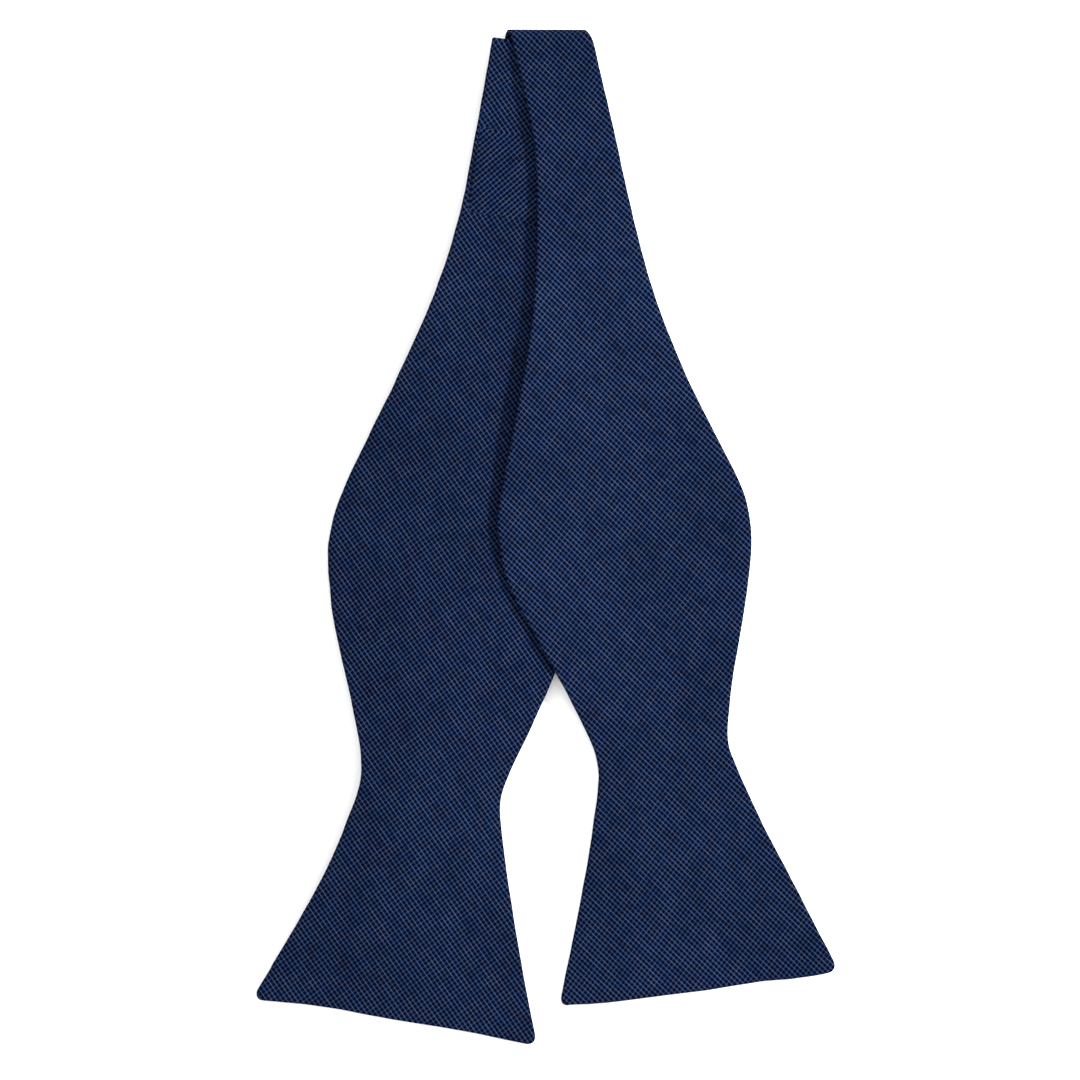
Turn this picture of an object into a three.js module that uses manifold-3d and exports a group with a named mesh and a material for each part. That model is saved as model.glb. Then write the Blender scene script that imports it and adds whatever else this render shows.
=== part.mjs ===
// A self-tie bow tie, untied and folded in half so that it lies flat, blades crossed at the fold.
// Millimetres, +Z up. The tie lies on the plane z = 0 and its blades point down -Y.
// Each half is one length of tube: a front shell and a back shell of cloth, sewn edge to edge,
// with an interlining inside. The right half wraps round the left half at the top fold.
// From the bottom up: right strap, strap return, left band, left blade, right blade.

import * as THREE from 'three';
import Module from 'manifold-3d';

const wasm = await Module();
wasm.setup();

const rad = THREE.MathUtils.degToRad;

// Cloth
const CLOTH = 0.25;
const INTERLINING = 0.3;
const TUBE = 1.0;
const DOUBLE_CLOTH = 0.6;
const BAND_WIDTH = 19.4;
const ENCLOSURE_INSET = 0.45;
const SEAM_GAP = 0.1;
const END_GAP = 0.3;

// Height of the middle of each layer above the table
const STRAP_Z = 1.15;
const RETURN_Z = 3.55;
const LEFT_BAND_Z = 4.55;
const LEFT_BLADE_Z = 5.75;
const RIGHT_BLADE_Z = 6.95;
const LEFT_TAIL_Z = 0.5;

// Lie of the two halves, from the top fold down
const RIGHT_FOLD = { x: 1.2, y: 118.16 };
const LEFT_FOLD = { x: -3.15, y: 117.3 };
const RIGHT_BLADE_LEAN = rad(8.8);
const STRAP_LEAN = rad(9.12);
const LEFT_LEAN = rad(8.0);

// Neckband hardware, stamped from sheet
const SHEET = 0.6;
const HARDWARE_HALF_WIDTH = 12.2;
const WINDOW_HALF_WIDTH = 10.6;
const BAR = 1.4;
const LOOP_REACH = 10.0;
const PLATE_REACH = 4.0;
const PIVOT_RUN = 179.4;
const HOOK_Z = (STRAP_Z + RETURN_Z) / 2;
const HOOK_BAR_RUN = PIVOT_RUN - LOOP_REACH;
const HOOK_PLATE_RUN = PIVOT_RUN - PLATE_REACH;
const TONGUE_WIDTH = 8.0;
const TONGUE_REACH = 2.2;
const EYE_Z = 1.5;
const EYE_PIVOT_RUN = 178.0;
const EYE_BAR_RUN = EYE_PIVOT_RUN + LOOP_REACH;
const SLIDER_RUN = 70.0;
const SLIDER_LENGTH = 10.0;
const SLIDER_SHEET = 0.5;
const SLIDER_BAR_Z = 2.85;

// Band ends, size tape and bar tacks
const TAB = 12.0;
const TAIL_FOLD_RUN = 207.0;
const LINING_STOP = 4.0;
const ARC_STEPS = 8;
const FOLD_STEPS = 10;
const CORNER_STEPS = 4;
const CUT_PAST = 1.0;
const MERGE = 1e-3;
const TAPE_WIDTH = 10.0;
const TAPE_THICKNESS = 0.12;
const TAPE_Z = 1.69;
const TAPE_START = 86.0;
const TAPE_END = 150.0;
const TACK_LENGTH = 13.0;
const TACK_WIDTH = 1.6;
const TACK_RUN = 9.0;
const EYE_TACK_HEIGHT = 0.8;
const SLIDER_TACK_HEIGHT = 0.6;

// Outline of each blade: [distance below the fold, left edge, right edge]
const RIGHT_BLADE_OUTLINE = [
  [0, -9.3, 9.9], [22, -7.9, 11.5], [42, -10.1, 12.8], [62, -14.1, 14.9], [82, -20.4, 19.3],
  [98, -26.2, 24.3], [110, -30.2, 28.2], [118, -30.9, 29.5], [127, -30.1, 28.8],
  [141, -25.4, 25.0], [156, -19.9, 20.0], [167, -16.5, 17.0],
  [172.5, -15.7, 16.2], [178, -16.4, 17.2], [192, -20.5, 21.1], [209, -26.3, 26.9], [230, -33.8, 34.1],
];
const LEFT_BLADE_OUTLINE = [
  [0, -9.5, 9.5], [22, -10.3, 9.8], [42, -11.4, 11.2], [62, -14.8, 14.2], [82, -20.5, 19.6],
  [98, -25.7, 25.0], [112, -30.0, 29.3], [121, -31.5, 30.9], [129, -31.1, 30.6],
  [143, -27.7, 28.0], [160, -21.4, 23.3], [173, -17.0, 19.3],
  [180, -16.1, 18.0], [187, -17.2, 19.2], [201, -20.8, 23.1], [216, -26.3, 27.8], [235.8, -34.6, 35.0],
];
const RIGHT_END_SLOPE = 0.035;
const LEFT_END_SLOPE = 0.021;
const OUTLINE_STEPS = 44;
const CORNER_RADIUS = 2.8;

// Colours
const NAVY = '#1c2a4a';
const NAVY_BACK = '#18233f';
const CANVAS = '#e4dfd0';
const STEEL = '#b9bcc0';
const THREAD = '#141d36';
const TAPE_COLOR = '#efeee9';

function cloth(color) {
  return new THREE.MeshStandardMaterial({ color, roughness: 0.85, metalness: 0 });
}

function steel() {
  return new THREE.MeshStandardMaterial({ color: STEEL, roughness: 0.28, metalness: 1 });
}

function toSolid(geometry) {
  const positions = geometry.getAttribute('position');
  const keys = new Map();
  const vertices = [];
  const triangles = [];
  const index = geometry.getIndex();
  const count = index ? index.count : positions.count;
  for (let i = 0; i < count; i += 1) {
    const at = index ? index.getX(i) : i;
    const point = [positions.getX(at), positions.getY(at), positions.getZ(at)];
    const key = point.map((value) => value.toFixed(4)).join();
    if (!keys.has(key)) {
      keys.set(key, vertices.length / 3);
      vertices.push(...point);
    }
    triangles.push(keys.get(key));
  }
  const mesh = new wasm.Mesh({
    numProp: 3,
    vertProperties: new Float32Array(vertices),
    triVerts: new Uint32Array(triangles),
  });
  return new wasm.Manifold(mesh);
}

function toGeometry(solid) {
  const mesh = solid.getMesh();
  const geometry = new THREE.BufferGeometry();
  geometry.setAttribute('position', new THREE.BufferAttribute(mesh.vertProperties, 3));
  geometry.setIndex(new THREE.BufferAttribute(mesh.triVerts, 1));
  geometry.computeVertexNormals();
  return geometry;
}

function subtract(base, cutter) {
  return toGeometry(toSolid(base).subtract(toSolid(cutter)));
}

function join(geometries) {
  const [first, ...rest] = geometries.map(toSolid);
  return toGeometry(rest.reduce((sum, solid) => sum.add(solid), first));
}

// A flat slab of an XY shape between two heights
function slab(shape, bottom, top) {
  const geometry = new THREE.ExtrudeGeometry(shape, {
    depth: top - bottom,
    bevelEnabled: false,
    curveSegments: CORNER_STEPS,
  });
  return geometry.translate(0, 0, bottom);
}

// A YZ profile carried across the band, centred on x = 0. The shape's own x is the object's y.
function across(shape, width) {
  const geometry = new THREE.ExtrudeGeometry(shape, {
    depth: width,
    bevelEnabled: false,
    curveSegments: ARC_STEPS,
  });
  geometry.translate(0, 0, -width / 2);
  return geometry.applyMatrix4(new THREE.Matrix4().set(
    0, 0, 1, 0,
    1, 0, 0, 0,
    0, 1, 0, 0,
    0, 0, 0, 1,
  ));
}

function rectangle(left, right, low, high) {
  const shape = new THREE.Shape();
  shape.moveTo(left, low);
  shape.lineTo(right, low);
  shape.lineTo(right, high);
  shape.lineTo(left, high);
  shape.closePath();
  return shape;
}

// Blades

function edgeCurve(outline, side) {
  return new THREE.SplineCurve(outline.map((row) => new THREE.Vector2(row[side], -row[0])));
}

// The outline drawn in by `inset`, its top edge cut along the fold, which leans by `skew`, and
// its lower end falling to the right by `slope`
function bladeShape({ outline, skew, slope }, inset, topGap) {
  const left = edgeCurve(outline, 1).getSpacedPoints(OUTLINE_STEPS);
  const right = edgeCurve(outline, 2).getSpacedPoints(OUTLINE_STEPS);
  const endY = (x) => inset - outline[outline.length - 1][0] - slope * x;
  left.forEach((point) => { point.x += inset; });
  right.forEach((point) => { point.x -= inset; });
  const foldY = (x) => -x * Math.tan(skew) - topGap;
  left[0].y = foldY(left[0].x);
  right[0].y = foldY(right[0].x);
  const last = OUTLINE_STEPS;
  left[last].y = endY(left[last].x);
  right[last].y = endY(right[last].x);
  const leftTurn = left[last].x + CORNER_RADIUS;
  const rightTurn = right[last].x - CORNER_RADIUS;
  const shape = new THREE.Shape();
  shape.moveTo(left[0].x, left[0].y);
  left.slice(1, last).forEach((point) => shape.lineTo(point.x, point.y));
  shape.quadraticCurveTo(left[last].x, left[last].y, leftTurn, endY(leftTurn));
  shape.lineTo(rightTurn, endY(rightTurn));
  shape.quadraticCurveTo(right[last].x, right[last].y, right[last - 1].x, right[last - 1].y);
  right.slice(0, last - 1).reverse().forEach((point) => shape.lineTo(point.x, point.y));
  shape.closePath();
  return shape;
}

// One cloth of a blade: a flat face with its seam allowance turned in at the edges
function bladeShell(cut, middle, up) {
  const face = middle + up * TUBE / 2;
  const rim = middle + up * SEAM_GAP / 2;
  const inner = face - up * CLOTH;
  const cutTo = rim - up * CUT_PAST;
  const whole = slab(
    bladeShape(cut, 0, END_GAP),
    Math.min(face, rim),
    Math.max(face, rim),
  );
  const hollow = slab(
    bladeShape(cut, CLOTH, -CUT_PAST),
    Math.min(inner, cutTo),
    Math.max(inner, cutTo),
  );
  return subtract(whole, hollow);
}

function blade(name, cut, middle) {
  const coreShape = bladeShape(cut, ENCLOSURE_INSET, END_GAP);
  const core = slab(coreShape, middle - INTERLINING / 2, middle + INTERLINING / 2);
  return [
    named(`${name}_blade_front_shell`, bladeShell(cut, middle, 1), cloth(NAVY)),
    named(`${name}_blade_back_shell`, bladeShell(cut, middle, -1), cloth(NAVY_BACK)),
    named(`${name}_blade_interlining`, core, cloth(CANVAS)),
  ];
}

function named(name, geometry, material) {
  const mesh = new THREE.Mesh(geometry, material);
  mesh.name = name;
  return mesh;
}

// Top folds: each layer is a half ring about the fold line. On a skewed fold the strip also
// moves along the line as it goes round.

function foldLayer(middle, radius, from, to, width, skew) {
  const box = new THREE.BoxGeometry(width, 1, 1, 2, FOLD_STEPS, 1);
  const points = box.getAttribute('position');
  for (let i = 0; i < points.count; i += 1) {
    const turn = -points.getY(i) * Math.PI;
    const reach = THREE.MathUtils.mapLinear(points.getZ(i), -0.5, 0.5, from, to);
    const x = points.getX(i) / Math.cos(skew) + radius * turn * Math.tan(skew);
    points.setXYZ(i, x, reach * Math.cos(turn), middle + reach * Math.sin(turn));
  }
  return box;
}

function topFold(name, bladeZ, bandZ, skew) {
  const middle = (bladeZ + bandZ) / 2;
  const radius = (bladeZ - bandZ) / 2;
  const half = TUBE / 2;
  const layers = [
    ['outer_shell', radius + half - CLOTH, radius + half, NAVY],
    ['interlining', radius - INTERLINING / 2, radius + INTERLINING / 2, CANVAS],
    ['inner_shell', radius - half, radius - half + CLOTH, NAVY_BACK],
  ];
  return layers.map(([layer, from, to, color]) => {
    const width = layer === 'interlining' ? BAND_WIDTH - 2 * ENCLOSURE_INSET : BAND_WIDTH;
    const geometry = foldLayer(middle, radius, from, to, width, skew);
    return named(`${name}_fold_${layer}`, geometry, cloth(color));
  });
}

// Neckband strips: each follows a path of straight runs and half turns, drawn from the side
// with the object's y across and z up. `low` and `high` are its two faces, off the path.
function strip(path, low, high, width) {
  const isNew = (point, i, all) => i === 0 || point.distanceTo(all[i - 1]) > MERGE;
  const points = path.getPoints(ARC_STEPS).filter(isNew);
  const sides = points.map((point, i) => {
    const before = points[Math.max(i - 1, 0)];
    const after = points[Math.min(i + 1, points.length - 1)];
    const along = after.clone().sub(before).normalize();
    return new THREE.Vector2(along.y, -along.x);
  });
  const face = (offset) => points.map((point, i) => point.clone().addScaledVector(sides[i], offset));
  const shape = new THREE.Shape([...face(high), ...face(low).reverse()]);
  return across(shape, width);
}

// The left band runs down, turns under at its tail fold and comes back to loop round the eye
function leftBandPath(loopsEye) {
  const turnZ = (LEFT_BAND_Z + LEFT_TAIL_Z) / 2;
  const path = new THREE.Path();
  path.moveTo(-END_GAP, LEFT_BAND_Z);
  path.lineTo(-TAIL_FOLD_RUN, LEFT_BAND_Z);
  path.absarc(-TAIL_FOLD_RUN, turnZ, turnZ - LEFT_TAIL_Z, Math.PI / 2, Math.PI * 1.5, false);
  if (!loopsEye) {
    path.lineTo(-EYE_BAR_RUN - LINING_STOP, LEFT_TAIL_Z);
    return path;
  }
  path.lineTo(-EYE_BAR_RUN, LEFT_TAIL_Z);
  path.absarc(-EYE_BAR_RUN, EYE_Z, EYE_Z - LEFT_TAIL_Z, -Math.PI / 2, Math.PI / 2, false);
  path.lineTo(-EYE_BAR_RUN - TAB, 2 * EYE_Z - LEFT_TAIL_Z);
  return path;
}

function strapPath() {
  const path = new THREE.Path();
  path.moveTo(-END_GAP, STRAP_Z);
  path.lineTo(-HOOK_BAR_RUN + TAB, STRAP_Z);
  return path;
}

// Cuts the top end of a strip along a fold line that leans by `lean`
function trimToFold(mesh, lean) {
  const points = mesh.geometry.getAttribute('position');
  for (let i = 0; i < points.count; i += 1) {
    const atTop = points.getY(i) > -2 * END_GAP;
    if (atTop) points.setY(i, points.getY(i) + points.getX(i) * Math.tan(lean));
  }
  return mesh;
}

// From the strap round the bar of the hook and back up to the slider
function returnPath() {
  const path = new THREE.Path();
  path.moveTo(-HOOK_BAR_RUN + TAB - END_GAP, STRAP_Z);
  path.lineTo(-HOOK_BAR_RUN, STRAP_Z);
  path.absarc(-HOOK_BAR_RUN, HOOK_Z, RETURN_Z - HOOK_Z, Math.PI * 1.5, Math.PI / 2, true);
  path.lineTo(-SLIDER_RUN - TAB - END_GAP, RETURN_Z);
  return path;
}

// The strap's end, turned round the raised bar of the slider
function strapEndPath() {
  const path = new THREE.Path();
  path.moveTo(-SLIDER_RUN - TAB, RETURN_Z);
  path.lineTo(-SLIDER_RUN, RETURN_Z);
  path.absarc(-SLIDER_RUN, SLIDER_BAR_Z, RETURN_Z - SLIDER_BAR_Z, Math.PI / 2, -Math.PI / 2, true);
  path.lineTo(-SLIDER_RUN - TAB, 2 * SLIDER_BAR_Z - RETURN_Z);
  return path;
}

// A front shell and a back shell on one path
function pairOfShells(name, path, thickness) {
  const half = thickness / 2;
  const front = strip(path, half - CLOTH, half, BAND_WIDTH);
  const back = strip(path, -half, CLOTH - half, BAND_WIDTH);
  return [
    named(`${name}_front_shell`, front, cloth(NAVY)),
    named(`${name}_back_shell`, back, cloth(NAVY_BACK)),
  ];
}

function interlining(name, path) {
  const width = BAND_WIDTH - 2 * ENCLOSURE_INSET;
  const layer = strip(path, -INTERLINING / 2, INTERLINING / 2, width);
  return named(`${name}_interlining`, layer, cloth(CANVAS));
}

function sizeTape() {
  const shape = rectangle(-TAPE_WIDTH / 2, TAPE_WIDTH / 2, -TAPE_END, -TAPE_START);
  return named('size_tape', slab(shape, TAPE_Z, TAPE_Z + TAPE_THICKNESS), cloth(TAPE_COLOR));
}

// Hardware

// A flat rectangular loop of sheet, its bars `BAR` wide, between two runs down the band
function sheetLoop(nearRun, farRun, middle, thickness) {
  const outer = rectangle(-HARDWARE_HALF_WIDTH, HARDWARE_HALF_WIDTH, -farRun, -nearRun);
  outer.holes.push(rectangle(-WINDOW_HALF_WIDTH, WINDOW_HALF_WIDTH, BAR - farRun, -nearRun - BAR));
  return slab(outer, middle - thickness / 2, middle + thickness / 2);
}

function eye() {
  const nearRun = EYE_PIVOT_RUN - BAR / 2;
  return named('eye', sheetLoop(nearRun, EYE_BAR_RUN + BAR, EYE_Z, SHEET), steel());
}

// A loop for the strap, with a tongue that passes over the bar of the eye and hooks under it
function hook() {
  const bend = HOOK_Z - EYE_Z;
  const bendRun = PIVOT_RUN + TONGUE_REACH;
  const path = new THREE.Path();
  path.moveTo(-HOOK_PLATE_RUN + BAR / 2, HOOK_Z);
  path.lineTo(-bendRun, HOOK_Z);
  path.absarc(-bendRun, EYE_Z, bend, Math.PI / 2, Math.PI * 1.5, false);
  path.lineTo(-PIVOT_RUN + TONGUE_REACH, EYE_Z - bend);
  const tongue = strip(path, -SHEET / 2, SHEET / 2, TONGUE_WIDTH);
  const loop = sheetLoop(HOOK_BAR_RUN - BAR, HOOK_PLATE_RUN, HOOK_Z, SHEET);
  return named('hook', join([loop, tongue]), steel());
}

// A flat frame under the strap, with a bar bridged over the strap on two legs
function slider() {
  const frame = sheetLoop(
    SLIDER_RUN - SLIDER_LENGTH / 2,
    SLIDER_RUN + SLIDER_LENGTH / 2,
    SLIDER_SHEET / 2,
    SLIDER_SHEET,
  );
  const top = SLIDER_BAR_Z + SLIDER_SHEET / 2;
  const outside = rectangle(-HARDWARE_HALF_WIDTH, HARDWARE_HALF_WIDTH, 0, top);
  const openingTop = top - SLIDER_SHEET;
  const opening = rectangle(-WINDOW_HALF_WIDTH, WINDOW_HALF_WIDTH, -CUT_PAST, openingTop);
  const bridge = subtract(slab(outside, -BAR / 2, BAR / 2), slab(opening, -BAR, BAR));
  bridge.rotateX(Math.PI / 2);
  bridge.translate(0, -SLIDER_RUN - BAR / 2, 0);
  return named('slider', join([frame, bridge]), steel());
}

// The block of thread that holds a folded end, between its two layers
function barTack(name, run, middle, height) {
  const shape = rectangle(-TACK_LENGTH / 2, TACK_LENGTH / 2, -run, TACK_WIDTH - run);
  return named(name, slab(shape, middle - height / 2, middle + height / 2), cloth(THREAD));
}

function placed(parent, x, y, angle, children) {
  const frame = new THREE.Group();
  frame.position.set(x, y, 0);
  frame.rotation.z = angle;
  frame.add(...children);
  parent.add(frame);
  return frame;
}

const tie = new THREE.Group();

const leftCut = { outline: LEFT_BLADE_OUTLINE, skew: 0, slope: LEFT_END_SLOPE };
placed(tie, LEFT_FOLD.x, LEFT_FOLD.y, -LEFT_LEAN, [
  ...blade('left', leftCut, LEFT_BLADE_Z),
  ...topFold('left', LEFT_BLADE_Z, LEFT_BAND_Z, 0),
  ...pairOfShells('left_band', leftBandPath(true), TUBE),
  interlining('left_band', leftBandPath(false)),
  eye(),
  barTack('eye_bar_tack', EYE_BAR_RUN + TACK_RUN, EYE_Z, EYE_TACK_HEIGHT),
]);

const skew = (RIGHT_BLADE_LEAN + STRAP_LEAN) / 2;
const foldDrift = ((RIGHT_BLADE_Z - STRAP_Z) / 2) * (Math.PI / 2) * Math.tan(skew);
const foldTurn = (RIGHT_BLADE_LEAN - STRAP_LEAN) / 2;
const rightFoldLayers = topFold('right', RIGHT_BLADE_Z, STRAP_Z, skew);
const rightFold = placed(tie, RIGHT_FOLD.x, RIGHT_FOLD.y, foldTurn, rightFoldLayers);
const rightCut = { outline: RIGHT_BLADE_OUTLINE, skew, slope: RIGHT_END_SLOPE };
placed(rightFold, foldDrift, 0, skew, blade('right', rightCut, RIGHT_BLADE_Z));
const strapEnd = strip(strapEndPath(), -DOUBLE_CLOTH / 2, DOUBLE_CLOTH / 2, BAND_WIDTH);
placed(rightFold, -foldDrift, 0, -skew, [
  ...pairOfShells('strap', strapPath(), TUBE).map((shell) => trimToFold(shell, skew)),
  trimToFold(interlining('strap', strapPath()), skew),
  sizeTape(),
  ...pairOfShells('strap_return', returnPath(), DOUBLE_CLOTH),
  named('strap_end', strapEnd, cloth(NAVY)),
  hook(),
  slider(),
  barTack('slider_bar_tack', SLIDER_RUN + TACK_RUN, SLIDER_BAR_Z, SLIDER_TACK_HEIGHT),
]);

// The origin is the middle of the footprint, on the plane that the tie lies on
tie.updateMatrixWorld(true);
const bounds = new THREE.Box3().setFromObject(tie, true);
const middle = bounds.getCenter(new THREE.Vector3());
tie.position.set(-middle.x, -middle.y, -bounds.min.z);

export default tie;
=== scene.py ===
"""A self-tie bow tie, untied and folded in half so that it lies flat, built round its CAD frame.

Each half of the tie is one long tube of cloth: a front cloth and a back cloth sewn edge to edge
with an interlining between them. A half runs from the tip of its blade, over the top fold and down
the neckband. Everything here is worked out in millimetres and made into meshes in metres.
"""

import math

import bpy
import numpy as np
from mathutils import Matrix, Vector


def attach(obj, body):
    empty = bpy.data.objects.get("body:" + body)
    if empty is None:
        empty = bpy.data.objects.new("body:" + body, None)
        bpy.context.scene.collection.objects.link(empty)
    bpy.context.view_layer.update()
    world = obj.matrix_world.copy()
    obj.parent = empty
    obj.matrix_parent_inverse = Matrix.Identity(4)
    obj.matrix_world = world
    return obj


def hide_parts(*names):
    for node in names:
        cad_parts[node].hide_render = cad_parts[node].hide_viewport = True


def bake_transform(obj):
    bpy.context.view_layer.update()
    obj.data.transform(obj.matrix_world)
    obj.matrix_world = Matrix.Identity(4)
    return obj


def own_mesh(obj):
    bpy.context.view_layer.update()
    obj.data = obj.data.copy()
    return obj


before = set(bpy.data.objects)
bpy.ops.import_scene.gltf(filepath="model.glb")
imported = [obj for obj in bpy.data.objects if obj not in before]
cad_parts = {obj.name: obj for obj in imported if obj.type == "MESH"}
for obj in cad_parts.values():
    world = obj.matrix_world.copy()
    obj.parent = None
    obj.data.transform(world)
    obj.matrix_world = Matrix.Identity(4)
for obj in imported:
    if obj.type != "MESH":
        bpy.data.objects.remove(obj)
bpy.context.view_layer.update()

MM = 0.001

# Cloth and its layers, as in part.mjs
CLOTH = 0.25
INTERLINING = 0.3
TUBE = 1.0
DOUBLE_CLOTH = 0.6
BAND_HALF_WIDTH = 9.7
ENCLOSURE_INSET = 0.45
TABLE_GAP = 0.08
BLADE_GAP = 0.3

# Height of the middle of each layer above the table
STRAP_Z = 1.15
RETURN_Z = 3.55
LEFT_BAND_Z = 4.55
LEFT_BLADE_Z = 5.75
RIGHT_BLADE_Z = 6.95
LEFT_TAIL_Z = 0.5

# Where the two top folds lie, in the row frame, and how the halves lean away from them
RIGHT_FOLD = (0.7642, 118.0444)
LEFT_FOLD = (-3.5858, 117.1844)
RIGHT_FOLD_TURN = math.radians(-0.16)
RIGHT_SKEW = math.radians(8.96)
LEFT_FOLD_TURN = math.radians(-8.0)

# Runs down the neckband from the fold
HOOK_BAR_RUN = 169.4
HOOK_LOOP_RUN = 163.0
EYE_BAR_RUN = 188.0
SLIDER_RUN = 70.0
TAIL_FOLD_RUN = 207.0
TAB = 12.0
HOOK_Z = 2.35
EYE_Z = 1.5
SLIDER_BAR_Z = 2.85
BAND_LINING_LENGTH = TAIL_FOLD_RUN + 20

# Size tape on the strap, and the bar tacks that close the two band ends
TAPE_WIDTH = 10.0
TAPE_THICKNESS = 0.12
TAPE_ABOVE_STRAP = 0.6
TAPE_START = 86.0
TAPE_END = 150.0
TACK_LENGTH = 13.0
TACK_WIDTH = 1.6
TACK_RUN = 9.0
EYE_TACK_HEIGHT = 0.8
SLIDER_TACK_HEIGHT = 0.6
STITCH_PITCH = 0.5

# Outline of each blade: distance below the fold, left edge, right edge
RIGHT_OUTLINE = [
    (0, -9.3, 9.9), (22, -7.9, 11.5), (42, -10.1, 12.8), (62, -14.1, 14.9), (82, -20.4, 19.3),
    (98, -26.2, 24.3), (110, -30.2, 28.2), (118, -30.9, 29.5),
    (127, -30.1, 28.8), (141, -25.4, 25.0), (156, -19.9, 20.0), (167, -16.5, 17.0),
    (172.5, -15.7, 16.2), (178, -16.4, 17.2), (192, -20.5, 21.1), (209, -26.3, 26.9), (230, -33.8, 34.1),
]
LEFT_OUTLINE = [
    (0, -9.5, 9.5), (22, -10.3, 9.8), (42, -11.4, 11.2), (62, -14.8, 14.2), (82, -20.5, 19.6),
    (98, -25.7, 25.0), (112, -30.0, 29.3), (121, -31.5, 30.9), (129, -31.1, 30.6),
    (143, -27.7, 28.0), (160, -21.4, 23.3), (173, -17.0, 19.3),
    (180, -16.1, 18.0), (187, -17.2, 19.2), (201, -20.8, 23.1), (216, -26.3, 27.8), (235.8, -34.6, 35.0),
]
# How far the blade's end lies below its length, across the blade
RIGHT_END = [
    (-34, -0.8), (-31, -1.3), (-27, -0.8), (-22, -0.4), (-15, -0.2), (-7, 0.0), (2, 0.3),
    (10, 0.2), (16, 0.2), (22, 0.7), (28, 0.8), (34, 0.6),
]
LEFT_END = [
    (-35, 0.0), (-30, -0.3), (-22, -0.7), (-14, -0.7), (-7, -0.3), (0, 0.0), (12, 0.2),
    (20, 0.5), (28, 1.1), (35, 1.5),
]
# Half widths of the crest of each top fold
RIGHT_CREST = (10.0, 8.85)
LEFT_CREST = (9.5, 9.4)
CORNER_RADIUS = 2.8
# How far from the fold the leaning crest, and from the tip the shaped end, fade out
CREST_REACH = 22
END_REACH = 30
BAND_REACH = 10

# The check: light yarns on a dark ground, cut on the bias. Angles are from the blade's own axis.
CHECK_PITCH = 1.0
RIGHT_CHECK = (math.radians(38.2), math.radians(-44.3))
LEFT_CHECK = (math.radians(42.5), math.radians(-46.5))

# Sewn edges: the cloth rolls over to the seam, and a seam allowance lies just inside it
EDGE_ROLL = 0.65
SEAM = 0.05
SEAM_INNER = 0.01
ALLOWANCE = 6.0
ALLOWANCE_HEIGHT = 0.05
ALLOWANCE_RISE = 0.8
ALLOWANCE_FALL = 1.2
LINING_TUCK = 0.1
EDGE_UNEVEN = 0.09
RELIEF = 0.1
EDGE_STEPS = (0, 0.04, 0.12, 0.24, 0.4, 0.6, 0.9, 1.4, 2.2, 3.2, 4.4, 5.4, 6.2, 7.2)
ACROSS_CELLS = 40
END_STEPS = (0, 0.04, 0.12, 0.24, 0.4, 0.6, 0.9, 1.25, 1.7, 2.2, 3.0, 4.0, 5.0, 6.0, 7.0)
ROW = 1.25
FOLD_ROWS = 25
LINING_GAP = 0.3
FOLD_LINING_GAP = 0.4

# How the blades drape
DRAPE_STEP = 3.0
DRAPE_HALF_WIDTH = 39.0
BENDING_LENGTH = 25.0
DRAPE_TURNS = 6000
STIFFEST = 64
SHARE_OUTSIDE = 0.2
BAND_SAG = 1.5
BAND_SAG_RUN = 62.0

# Metal, table and light
WORN_EDGE = 0.12
TABLE_SIZE = 30
TABLE_DROP = 0.05
WORLD_STRENGTH = 1.8
KEY_SIZE = 0.17
KEY_ENERGY = 36.0
KEY_AZIMUTH = math.radians(12)
KEY_HEIGHT = math.radians(29)
KEY_DISTANCE = 1.1

# Camera, straight above
LENS = 600.0
SENSOR = 36.0
FRAME_WIDTH = 259.2
FRAME_CENTRE = (-1.410, -1.088)
FOCUS_Z = 4.0


# Small tools


def smooth(x):
    x = np.clip(x, 0, 1)
    return x * x * (3 - 2 * x)


def ripple(x, y, lengths, seed):
    """Smooth, seeded unevenness of about -1 to 1, of those wave lengths in mm."""
    random = np.random.default_rng(seed)
    total = 0
    for length in lengths:
        for _ in range(3):
            turn = random.uniform(0, math.tau)
            phase = random.uniform(0, math.tau)
            total = total + np.sin(
                math.tau / length * (x * math.cos(turn) + y * math.sin(turn)) + phase
            )
    return total / (2 * math.sqrt(len(lengths) * 3))


def curve_through(points, steps=24):
    """A Catmull-Rom curve through the points, as many short chords."""
    p = np.array([points[0], *points, points[-1]], float)
    t = np.linspace(0, 1, steps, endpoint=False)[:, None]
    parts = []
    for a, b, c, d in zip(p, p[1:], p[2:], p[3:]):
        parts.append(
            b + t * (c - a) / 2 + t**2 * (a - 2.5 * b + 2 * c - d / 2)
            + t**3 * (1.5 * b - 1.5 * c + d / 2 - a / 2)
        )
    return np.vstack([*parts, p[-1:]])


class Path:
    """A line down the neckband as seen from the side: `run` from the fold and height `z`."""

    def __init__(self, z, *moves):
        run, heading, along = 0.0, 0.0, 0.0
        rows = [(along, run, z, heading)]
        for length, turn in moves:
            steps = max(2, int(abs(turn) / math.radians(4)))
            for _ in range(steps):
                middle = heading + turn / steps / 2
                run += length / steps * math.cos(middle)
                z += length / steps * math.sin(middle)
                heading += turn / steps
                along += length / steps
                rows.append((along, run, z, heading))
        self.rows = np.array(rows).T
        self.length = along

    def at(self, along):
        """run, z and heading at distances along the path."""
        known, *values = self.rows
        return [np.interp(along, known, value) for value in values]


def half_turn(radius, way):
    return (math.pi * radius, way * math.pi)


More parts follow.
